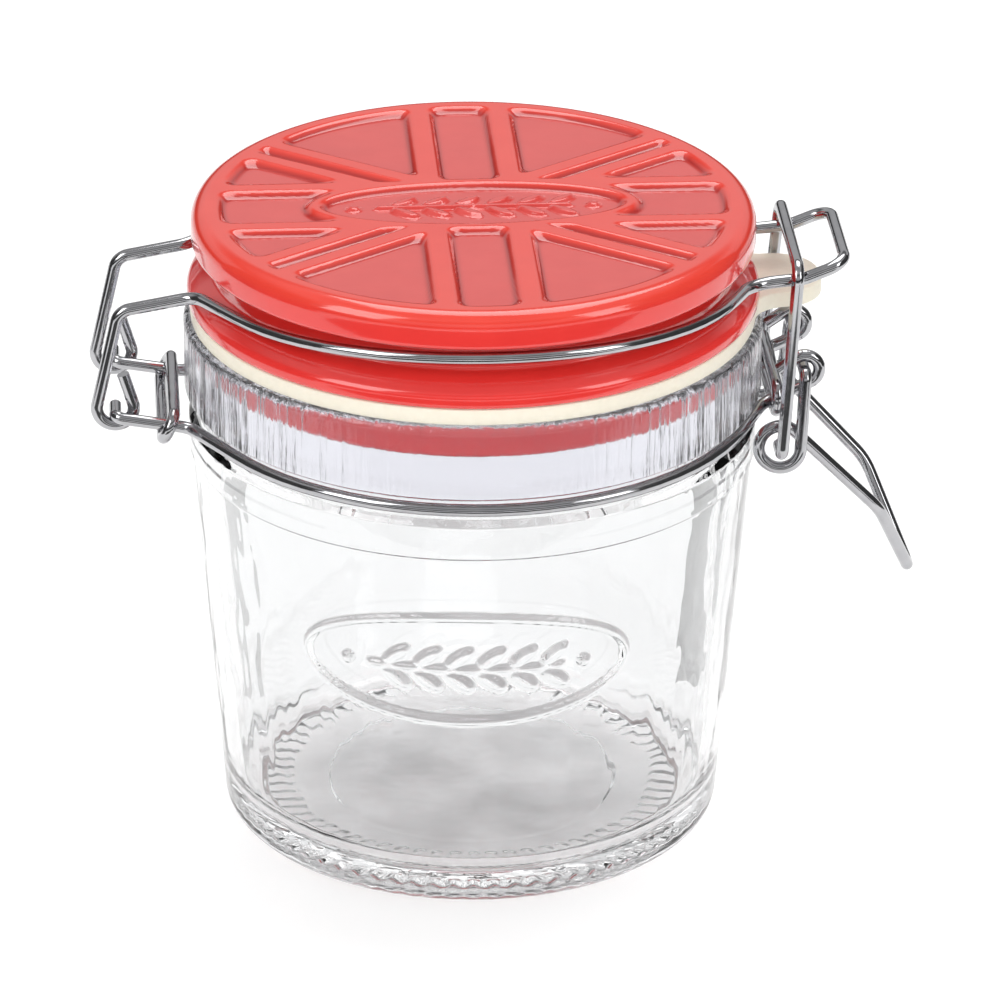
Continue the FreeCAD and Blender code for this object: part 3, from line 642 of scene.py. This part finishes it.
def seal_outlines():
    """The ring with its pull tab, and the bore, as flat closed outlines."""
    root_y = TAB_HALF_WIDTH + TAB_ROOT_RADIUS
    root_x = math.sqrt((SEAL_RADIUS + TAB_ROOT_RADIUS) ** 2 - root_y ** 2)
    start = math.atan2(root_y, root_x)
    quarter = math.pi / 2
    ring = arc((0, 0), SEAL_RADIUS, start, 2 * math.pi - start, SEAL_POINTS)
    tab = arc((root_x, -root_y), TAB_ROOT_RADIUS, math.pi - start, quarter, TAB_ROOT_POINTS)[1:]
    tip = TAB_REACH - TAB_TIP_RADIUS, TAB_TIP_RADIUS - TAB_HALF_WIDTH
    tab += arc(tip, TAB_TIP_RADIUS, -quarter, 0, TAB_TIP_POINTS)
    tab += [(x, -y) for x, y in reversed(tab)]
    turn = Matrix.Rotation(math.radians(TAB_TURN), 2)
    outer = [tuple(turn @ Vector(point)) for point in ring + tab]
    bore = arc((0, 0), SEAL_BORE, 0, 2 * math.pi, SEAL_POINTS)[:-1]
    return outer, bore


def seal_piece():
    """The flat ring and its pull tab, with rounded edges."""
    curve = bpy.data.curves.new("seal", "CURVE")
    curve.dimensions = "2D"
    curve.fill_mode = "BOTH"
    curve.extrude = ((SEAL_TOP - GLASS_HEIGHT) / 2 - SEAL_ROUNDING) * MM
    curve.bevel_depth = SEAL_ROUNDING * MM
    curve.bevel_resolution = 2
    curve.offset = -SEAL_ROUNDING * MM
    for outline in seal_outlines():
        add_spline(curve, [(x, y, 0) for x, y in outline], closed=True)
    curve.materials.append(RUBBER)
    piece = place_object("seal_flat", curve)
    piece.location.z = (GLASS_HEIGHT + SEAL_TOP) / 2 * MM
    return piece


seal = seal_piece()
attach(seal, "jar")
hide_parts("seal_ring")

# ------------------------------------------------------------------ wire forms

ARC_STEP = 5.0
# A bend's radius as a share of what fits, so that one arc ends before the next begins.
SNUG = 0.97
RING_STEPS, EYE_STEPS, COIL_STEPS = 5, 3, 5
TIGHT_BEND = 1.3

LEVER_PIVOT = Vector((52.3, 0, 78.7))
COIL_CENTRE = Vector((48.2, 0, 67.05))
LATCH_TURN = -25.0

# Distances of the wires' strands from the plane of symmetry.
FRONT_SPREAD, REAR_SPREAD = 12.9, 8.7
EYE_SPREAD = 9.1
HINGE_SPREAD = 10.8
NOSE_SPREAD = 10.9
LOOP_TOP_SPREAD = 13.8
LEVER_SPREAD = 11.35
COIL_SPREAD = 14.6
ELBOW_SPREAD = 9.6
TIP_SPREAD = 1.2

NECK_MIDDLE = 72.55
NECK_WIRE_RADIUS = 45.5
NECK_BEND = 3.0
NECK_EYE_RADIUS = 2.4
NECK_RISE = 25.0
NECK_TAIL, NECK_TAIL_ANGLE = 3.4, 215.0
FRONT_TURN, REAR_TURN = -148.0, -158.0

HINGE_REACH = 57.3
HINGE_PIN_HEIGHT = 74.6
HINGE_PIN_RUN = 4.8
HINGE_EYE_HEIGHT = 75.4
HINGE_EYE_RADIUS = 2.9

LID_WIRE_RADIUS = 43.8
LID_WIRE_HEIGHT = 97.6
LID_WIRE_DROP = 3.3
LID_WIRE_TURN = -150.0

LINK_ROOM = 0.1
HINGE_LINK_X, HINGE_LINK_LEAN = -49.0, 25.0
LATCH_LINK_X, LATCH_LINK_LEAN = 47.9, 0
LOOP_ROOM = 0.25
LOOP_PIN_RUN = 4.6
HOOK_PIN_RUN = 4.2
COIL_RADIUS, COIL_PITCH = 3.3, 2.5


def rounded_path(corners, closed=False):
    """Points of straight runs joined by tangent arcs, from (point, bend radius) corners."""
    count = len(corners)
    path = []
    for index, (here, bend) in enumerate(corners):
        if not closed and index in (0, count - 1):
            path.append(here)
            continue
        back = (corners[index - 1][0] - here).normalized()
        ahead = (corners[(index + 1) % count][0] - here).normalized()
        half = back.angle(ahead) / 2
        centre = here + (back + ahead).normalized() * bend / math.sin(half)
        start = here + back * bend / math.tan(half) - centre
        end = here + ahead * bend / math.tan(half) - centre
        turn = start.angle(end)
        steps = max(3, math.ceil(math.degrees(turn) / ARC_STEP))
        for step in range(steps + 1):
            share = step / steps
            path.append(centre + (start * math.sin((1 - share) * turn)
                                  + end * math.sin(share * turn)) / math.sin(turn))
    return path


def wire_piece(name, node, body, corners, closed=False):
    """A round wire along the corners, which stands for a CAD node."""
    curve = bpy.data.curves.new(name, "CURVE")
    curve.dimensions = "3D"
    curve.bevel_depth = WIRE_RADIUS * MM
    curve.bevel_resolution = 6
    curve.use_fill_caps = True
    add_spline(curve, rounded_path(corners, closed), closed)
    curve.materials.append(WIRE)
    piece = place_object(name, curve)
    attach(piece, body)
    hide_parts(node)
    return piece


def mirrored(corners):
    """The same corners on the other side of the plane of symmetry, in reverse."""
    return [(Vector((p.x, -p.y, p.z)), bend) for p, bend in reversed(corners)]


def both_sides(half):
    """A whole wire from its front half."""
    return half + mirrored(half)


def shifted(point, y):
    """The same place seen from the side, at another Y."""
    return Vector((point.x, y, point.z))


def pointing(degrees):
    """A unit direction seen from the side: 0 is +X and 90 is up."""
    return Vector((math.cos(math.radians(degrees)), 0, math.sin(math.radians(degrees))))


def heading(start, end):
    """The direction in degrees, seen from the side, from one point to another."""
    return math.degrees(math.atan2(end.z - start.z, end.x - start.x))


def tangent_angle(centre, point, radius):
    """Degrees between the line from a centre to a point and the spoke where its tangent touches."""
    return math.degrees(math.acos(radius / math.hypot(point.x - centre.x, point.z - centre.z)))


def arc_corners(radius, first, sweep, steps):
    """Corners whose runs touch a circle: each one's share of the sweep and its two offsets."""
    reach = radius / math.cos(math.radians(sweep / steps / 2))
    for index in range(steps):
        share = (index + 0.5) / steps
        angle = math.radians(first + share * sweep)
        yield share, reach * math.cos(angle), reach * math.sin(angle)


def ring_corners(radius, first, height_at):
    """Corners of a run round the glass axis, up to where it leaves for the latch."""
    return [(Vector((x, y, height_at(x))), radius * SNUG)
            for _, x, y in arc_corners(radius, first, LATCH_TURN - first, RING_STEPS)]


def coil_corners(centre, radius, first, sweep, steps, y_start, y_end):
    """Corners of an eye or a coil about a line along Y."""
    corners = []
    for share, dx, dz in arc_corners(radius, first, sweep, steps):
        point = Vector((centre.x + dx, y_start + share * (y_end - y_start), centre.z + dz))
        corners.append((point, radius * SNUG))
    return corners


def tangent_corner(radius, angle, y, height):
    """Where a circle's tangent at an angle reaches a given Y."""
    turn = math.radians(angle)
    return Vector(((radius - y * math.sin(turn)) / math.cos(turn), y, height))


def neck_wire(spread, pin_run, turn):
    """The front neck wire: hinge pin, run round the glass, latch eye and tail.

    The rear one is the mirror image of one whose pin stands closer in and points the other way.
    """
    eye = coil_corners(LEVER_PIVOT, NECK_EYE_RADIUS, NECK_RISE - 90, NECK_TAIL_ANGLE - NECK_RISE,
                       EYE_STEPS, -EYE_SPREAD, -EYE_SPREAD)
    eye_start = eye[0][0]
    latch_side = tangent_corner(NECK_WIRE_RADIUS, LATCH_TURN, -EYE_SPREAD, NECK_MIDDLE)
    latch_side.z = eye_start.z - (eye_start.x - latch_side.x) * math.tan(math.radians(NECK_RISE))
    tail = (shifted(LEVER_PIVOT, -EYE_SPREAD) + pointing(NECK_TAIL_ANGLE - 90) * NECK_EYE_RADIUS
            + pointing(NECK_TAIL_ANGLE) * NECK_TAIL)
    pin = Vector((-HINGE_REACH, -spread, HINGE_PIN_HEIGHT))
    hinge_side = tangent_corner(NECK_WIRE_RADIUS, turn, -spread, NECK_MIDDLE)
    corners = [(shifted(pin, pin_run - spread), 0), (pin, TIGHT_BEND), (hinge_side, NECK_BEND)]
    corners += ring_corners(NECK_WIRE_RADIUS, turn, lambda x: NECK_MIDDLE)
    return corners + [(latch_side, NECK_BEND)] + eye + [(tail, 0)]


def lid_wire_half():
    """Half of the lid's wire: hinge eye, leg, run round the lid's waist and side of the nose."""
    radius, spread = LID_WIRE_RADIUS, -HINGE_SPREAD
    tail = Vector((-56.0, spread, 81.2))
    knee = Vector((-56.5, spread, 92.0))
    centre = Vector((-HINGE_REACH, spread, HINGE_EYE_HEIGHT))
    enter = heading(centre, tail) - tangent_angle(centre, tail, HINGE_EYE_RADIUS)
    leave = heading(centre, knee) + tangent_angle(centre, knee, HINGE_EYE_RADIUS)

    def height_at(x):
        return LID_WIRE_HEIGHT - LID_WIRE_DROP * (x / radius) ** 2

    hinge_side = tangent_corner(radius, LID_WIRE_TURN, spread, 0)
    hinge_side.z = height_at(hinge_side.x)
    latch_side = tangent_corner(radius, LATCH_TURN, -NOSE_SPREAD, 0)
    latch_side.z = height_at(latch_side.x)
    corners = [(tail, 0)]
    corners += coil_corners(centre, HINGE_EYE_RADIUS, enter, leave - 360 - enter, EYE_STEPS,
                            spread, spread)
    corners += [(knee, 2.8), (hinge_side, 4.0)]
    corners += ring_corners(radius, LID_WIRE_TURN, height_at)
    corners += [(latch_side, 6.0), (Vector((51.7, -NOSE_SPREAD, 95.2)), 4.0),
                (Vector((58.2, -NOSE_SPREAD, 97.8)), 3.2)]
    return corners


def tie_link(name, node, x, run, rear_spread, lean):
    """A closed link round a straight run of the front neck wire and the rear wire's beside it."""
    start, end = [point for point, bend in run]
    slope = math.radians(heading(start, end))
    tilt = math.radians(lean)
    half_height = (2 * WIRE_RADIUS + LINK_ROOM) / math.cos(tilt + slope)
    half_length = (rear_spread - start.y) / 2 + 2 * WIRE_RADIUS + LINK_ROOM
    middle_height = start.z + (x - start.x) * math.tan(slope)
    centre = Vector((x, (rear_spread + start.y) / 2, middle_height))
    up = pointing(90 - lean) * half_height
    side = Vector((0, half_length, 0))
    bend = half_height * SNUG
    corners = [(centre + up - side, bend), (centre - up - side, bend),
               (centre - up + side, bend), (centre + up + side, bend)]
    wire_piece(name, node, "jar", corners, closed=True)


def draw_loop_half():
    """Half of the loop: the pin in the lever's coil, a strand and half of the bar over the nose."""
    foot_y = -COIL_SPREAD - 2 * WIRE_RADIUS - LOOP_ROOM
    return [(shifted(COIL_CENTRE, foot_y + LOOP_PIN_RUN), 0),
            (shifted(COIL_CENTRE, foot_y), TIGHT_BEND),
            (Vector((50.4, -LOOP_TOP_SPREAD, 98.0)), 2.4)]


def lever_half():
    """Half of the lever: hook in the neck wire's eye, coil and half of the V-shaped handle."""
    hook = shifted(LEVER_PIVOT, -LEVER_SPREAD)
    elbow = Vector((65.1, -ELBOW_SPREAD, 53.9))
    tip = Vector((71.2, -TIP_SPREAD, 39.6))
    enter = heading(COIL_CENTRE, hook) - tangent_angle(COIL_CENTRE, hook, COIL_RADIUS)
    leave = heading(COIL_CENTRE, elbow) + tangent_angle(COIL_CENTRE, elbow, COIL_RADIUS)
    corners = [(shifted(hook, HOOK_PIN_RUN - LEVER_SPREAD), 0), (hook, TIGHT_BEND)]
    corners += coil_corners(COIL_CENTRE, COIL_RADIUS, enter, leave - 360 - enter, COIL_STEPS,
                            -COIL_SPREAD, COIL_PITCH - COIL_SPREAD)
    return corners + [(elbow, 9.0), (tip, 1.1)]


front_neck = neck_wire(FRONT_SPREAD, HINGE_PIN_RUN, FRONT_TURN)
rear_neck = mirrored(neck_wire(REAR_SPREAD, -HINGE_PIN_RUN, REAR_TURN))
# The straight runs that the tie links hold, before and after the corners round the glass.
hinge_run = front_neck[1:3]
latch_run = front_neck[3 + RING_STEPS:5 + RING_STEPS]

wire_piece("neck_wire_a", "neck_wire_front", "jar", front_neck)
wire_piece("neck_wire_b", "neck_wire_rear", "jar", rear_neck)
wire_piece("bail_wire", "lid_wire", "jar", both_sides(lid_wire_half()))
tie_link("link_hinge", "tie_link_hinge", HINGE_LINK_X, hinge_run, REAR_SPREAD, HINGE_LINK_LEAN)
tie_link("link_latch", "tie_link_latch", LATCH_LINK_X, latch_run, EYE_SPREAD, LATCH_LINK_LEAN)
wire_piece("tension_loop", "draw_loop", "draw_loop", both_sides(draw_loop_half()))
wire_piece("latch_lever", "lever", "lever", both_sides(lever_half()))

# ------------------------------------------------------------------ studio

CAMERA_AZIMUTH = math.radians(-4.08)
CAMERA_ELEVATION = math.radians(25.59)
CAMERA_ROLL = math.radians(0.432)
CAMERA_DISTANCE = 1000
TARGET_RIGHT, TARGET_UP = 4.527, 52.61
LENS, SENSOR_WIDTH = 222.43, 36
VIEW_DEPTH = 20

FLOOR_HALF = 3.0
FLOOR_LIFT = 0.12
# The floor's white, the colour of the painted shade laid under the glass, and where that shade
# fades, in metres from the glass axis.
FLOOR_WHITE, FLOOR_PAINTED_SHADE = (0.93, 0.93, 0.93), (0.52, 0.52, 0.525)
PAINTED_SHADE_EDGE = (0.022, 0.037)
LAMP_AIM = Vector((0, 0, 0.06))
SKY_LOWEST, SKY_HIGHEST = (0.06, 0.06, 0.065, 1), (0.55, 0.55, 0.56, 1)
# (height, grey) of what gloss reflects, from 0 at the horizon to 1 straight up.
SKY_BANDS = ((0.14, 0.05), (0.24, 0.8), (0.45, 1.0), (0.60, 0.14), (0.78, 0.9))
REFLECTED_STRENGTH = 0.62


def add_camera():
    """The camera, in front of the jar and a little above it, with a slight roll."""
    right = Vector((math.cos(CAMERA_AZIMUTH), math.sin(CAMERA_AZIMUTH), 0))
    back = Vector((math.sin(CAMERA_AZIMUTH) * math.cos(CAMERA_ELEVATION),
                   -math.cos(CAMERA_AZIMUTH) * math.cos(CAMERA_ELEVATION),
                   math.sin(CAMERA_ELEVATION)))
    up = back.cross(right)
    target = right * TARGET_RIGHT + Vector((AXIS_X, 0, TARGET_UP))
    cosine, sine = math.cos(CAMERA_ROLL), math.sin(CAMERA_ROLL)
    rolled_right = right * cosine + up * sine
    rolled_up = up * cosine - right * sine
    data = bpy.data.cameras.new("camera")
    data.lens = LENS
    data.sensor_width = SENSOR_WIDTH
    data.clip_end = VIEW_DEPTH
    camera = place_object("camera", data)
    rotation = Matrix((rolled_right, rolled_up, back)).transposed().to_4x4()
    camera.matrix_world = Matrix.Translation((target + back * CAMERA_DISTANCE) * MM) @ rotation
    bpy.context.scene.camera = camera


def add_plane(name, corners, material):
    """A four-cornered plane."""
    mesh = bpy.data.meshes.new(name)
    mesh.from_pydata(corners, [], [(0, 1, 2, 3)])
    mesh.materials.append(material)
    return place_object(name, mesh)


def floor_material():
    """White, with a patchy painted shadow under the glass, which casts no shadow of its own."""
    material, tree, shader = new_material("floor")
    where = object_place(tree)
    apart = tree.nodes.new("ShaderNodeVectorMath")
    apart.operation = "DISTANCE"
    tree.links.new(where, apart.inputs[0])
    apart.inputs[1].default_value = (AXIS_X * MM, 0, 0)
    # Painted shade: darker near the glass axis, broken into patches by noise.
    under = map_range(tree, apart.outputs["Value"], PAINTED_SHADE_EDGE, (1, 0))
    clouds = add_noise(tree, where, scale=60, detail=3)
    patches = map_range(tree, clouds, (0.35, 0.65), (0.45, 1))
    shade = combined(tree, "MULTIPLY", under, patches)
    to_camera = tree.nodes.new("ShaderNodeLightPath").outputs["Is Camera Ray"]
    set_inputs(shader, {"Roughness": 0.9, "Emission Color": (1, 1, 1, 1)})
    link_inputs(tree, shader, {
        "Base Color": mix_colours(tree, shade, FLOOR_WHITE, FLOOR_PAINTED_SHADE),
        "Emission Strength": map_range(tree, to_camera, (0, 1), (0, FLOOR_LIFT)),
    })
    return material


def add_floor():
    """A wide floor on which the jar stands."""
    half = FLOOR_HALF
    corners = [(-half, -half, 0), (half, -half, 0), (half, half, 0), (-half, half, 0)]
    floor = add_plane("floor", corners, floor_material())


def add_lamp(name, place, size, power, in_gloss=True):
    """A soft rectangular lamp aimed at the middle of the jar."""
    data = bpy.data.lights.new(name, "AREA")
    data.shape = "RECTANGLE"
    data.size, data.size_y = size
    data.energy = power
    lamp = place_object(name, data)
    lamp.location = place
    lamp.visible_glossy = in_gloss
    aim = LAMP_AIM - Vector(place)
    lamp.rotation_euler = aim.to_track_quat("-Z", "Y").to_euler()


def add_card(name, place, size, tilt, grey, in_gloss=True, through_glass=True):
    """A mottled studio card that shows only in gloss or through the glass.

    It stands upright across the Y axis before it is tilted, by degrees about X, Y and Z.
    """
    wide, high = size[0] / 2, size[1] / 2
    corners = [(-wide, 0, -high), (wide, 0, -high), (wide, 0, high), (-wide, 0, high)]
    material, tree, shader = new_material(name)
    mottle = add_noise(tree, object_place(tree), scale=30, detail=3)
    set_inputs(shader, {"Roughness": 0.9})
    colour = mix_colours(tree, mottle, (grey * 0.7,) * 3, (grey * 1.3,) * 3)
    link_inputs(tree, shader, {"Base Color": colour})
    card = add_plane(name, corners, material)
    card.location = place
    card.rotation_euler = [math.radians(angle) for angle in tilt]
    card.visible_camera = False
    card.visible_diffuse = False
    card.visible_shadow = False
    card.visible_glossy = in_gloss
    card.visible_transmission = through_glass


def add_world():
    """White for the camera and through glass; in reflections, a studio's light and dark bands."""
    world = bpy.data.worlds.new("studio")
    world.use_nodes = True
    tree = world.node_tree
    path = tree.nodes.new("ShaderNodeLightPath")
    seen = combined(tree, "MAXIMUM", path.outputs["Is Camera Ray"],
                    path.outputs["Is Transmission Ray"])
    generated = tree.nodes.new("ShaderNodeTexCoord").outputs["Generated"]
    sky = tree.nodes.new("ShaderNodeValToRGB")
    bands = sky.color_ramp.elements
    bands[0].position, bands[0].color = 0, SKY_LOWEST
    bands[1].position, bands[1].color = 1, SKY_HIGHEST
    for position, grey in SKY_BANDS:
        bands.new(position).color = (grey, grey, grey * 1.01, 1)
    link_inputs(tree, sky, {"Fac": height_in(tree, generated)})
    link_inputs(tree, tree.nodes["Background"], {
        "Color": mix_colours(tree, path.outputs["Is Glossy Ray"], (1, 1, 1), sky.outputs["Color"]),
        "Strength": map_range(tree, seen, (0, 1), (REFLECTED_STRENGTH, 1)),
    })
    bpy.context.scene.world = world


add_camera()
add_floor()
add_lamp("key", place=(-0.75, -0.55, 0.75), size=(0.5, 0.7), power=4.0)
add_lamp("fill", place=(0.8, -0.6, 0.6), size=(0.4, 0.6), power=2.5)
add_lamp("top", place=(0.1, 0.35, 1.0), size=(0.7, 0.7), power=5.0)
add_lamp("front", place=(0.05, -0.95, 0.35), size=(0.6, 0.4), power=2.2, in_gloss=False)
# Dark cards for the gloss of lid and wires, and narrow ones for the dark edges of clear glass.
add_card("card_left", place=(-0.42, 0, 0.12), size=(0.40, 0.5), tilt=(0, 0, 90), grey=0.04)
add_card("card_right", place=(0.40, 0, 0.12), size=(0.50, 0.5), tilt=(0, 0, 90), grey=0.04)
add_card("card_front", place=(0, -0.28, 0.002), size=(0.55, 0.26), tilt=(90, 0, 0), grey=0.04,
         through_glass=False)
add_card("edge_right", place=(0.0455, 0.030, 0.036), size=(0.012, 0.066), tilt=(0, 4.4, 0),
         grey=0.34, in_gloss=False)
add_card("edge_left", place=(-0.0515, 0.030, 0.036), size=(0.006, 0.066), tilt=(0, -4.4, 0),
         grey=0.50, in_gloss=False)
add_world()

scene = bpy.context.scene
scene.view_settings.view_transform = "Standard"
scene.cycles.max_bounces = 20
scene.cycles.glossy_bounces = 12
scene.cycles.transmission_bounces = 20
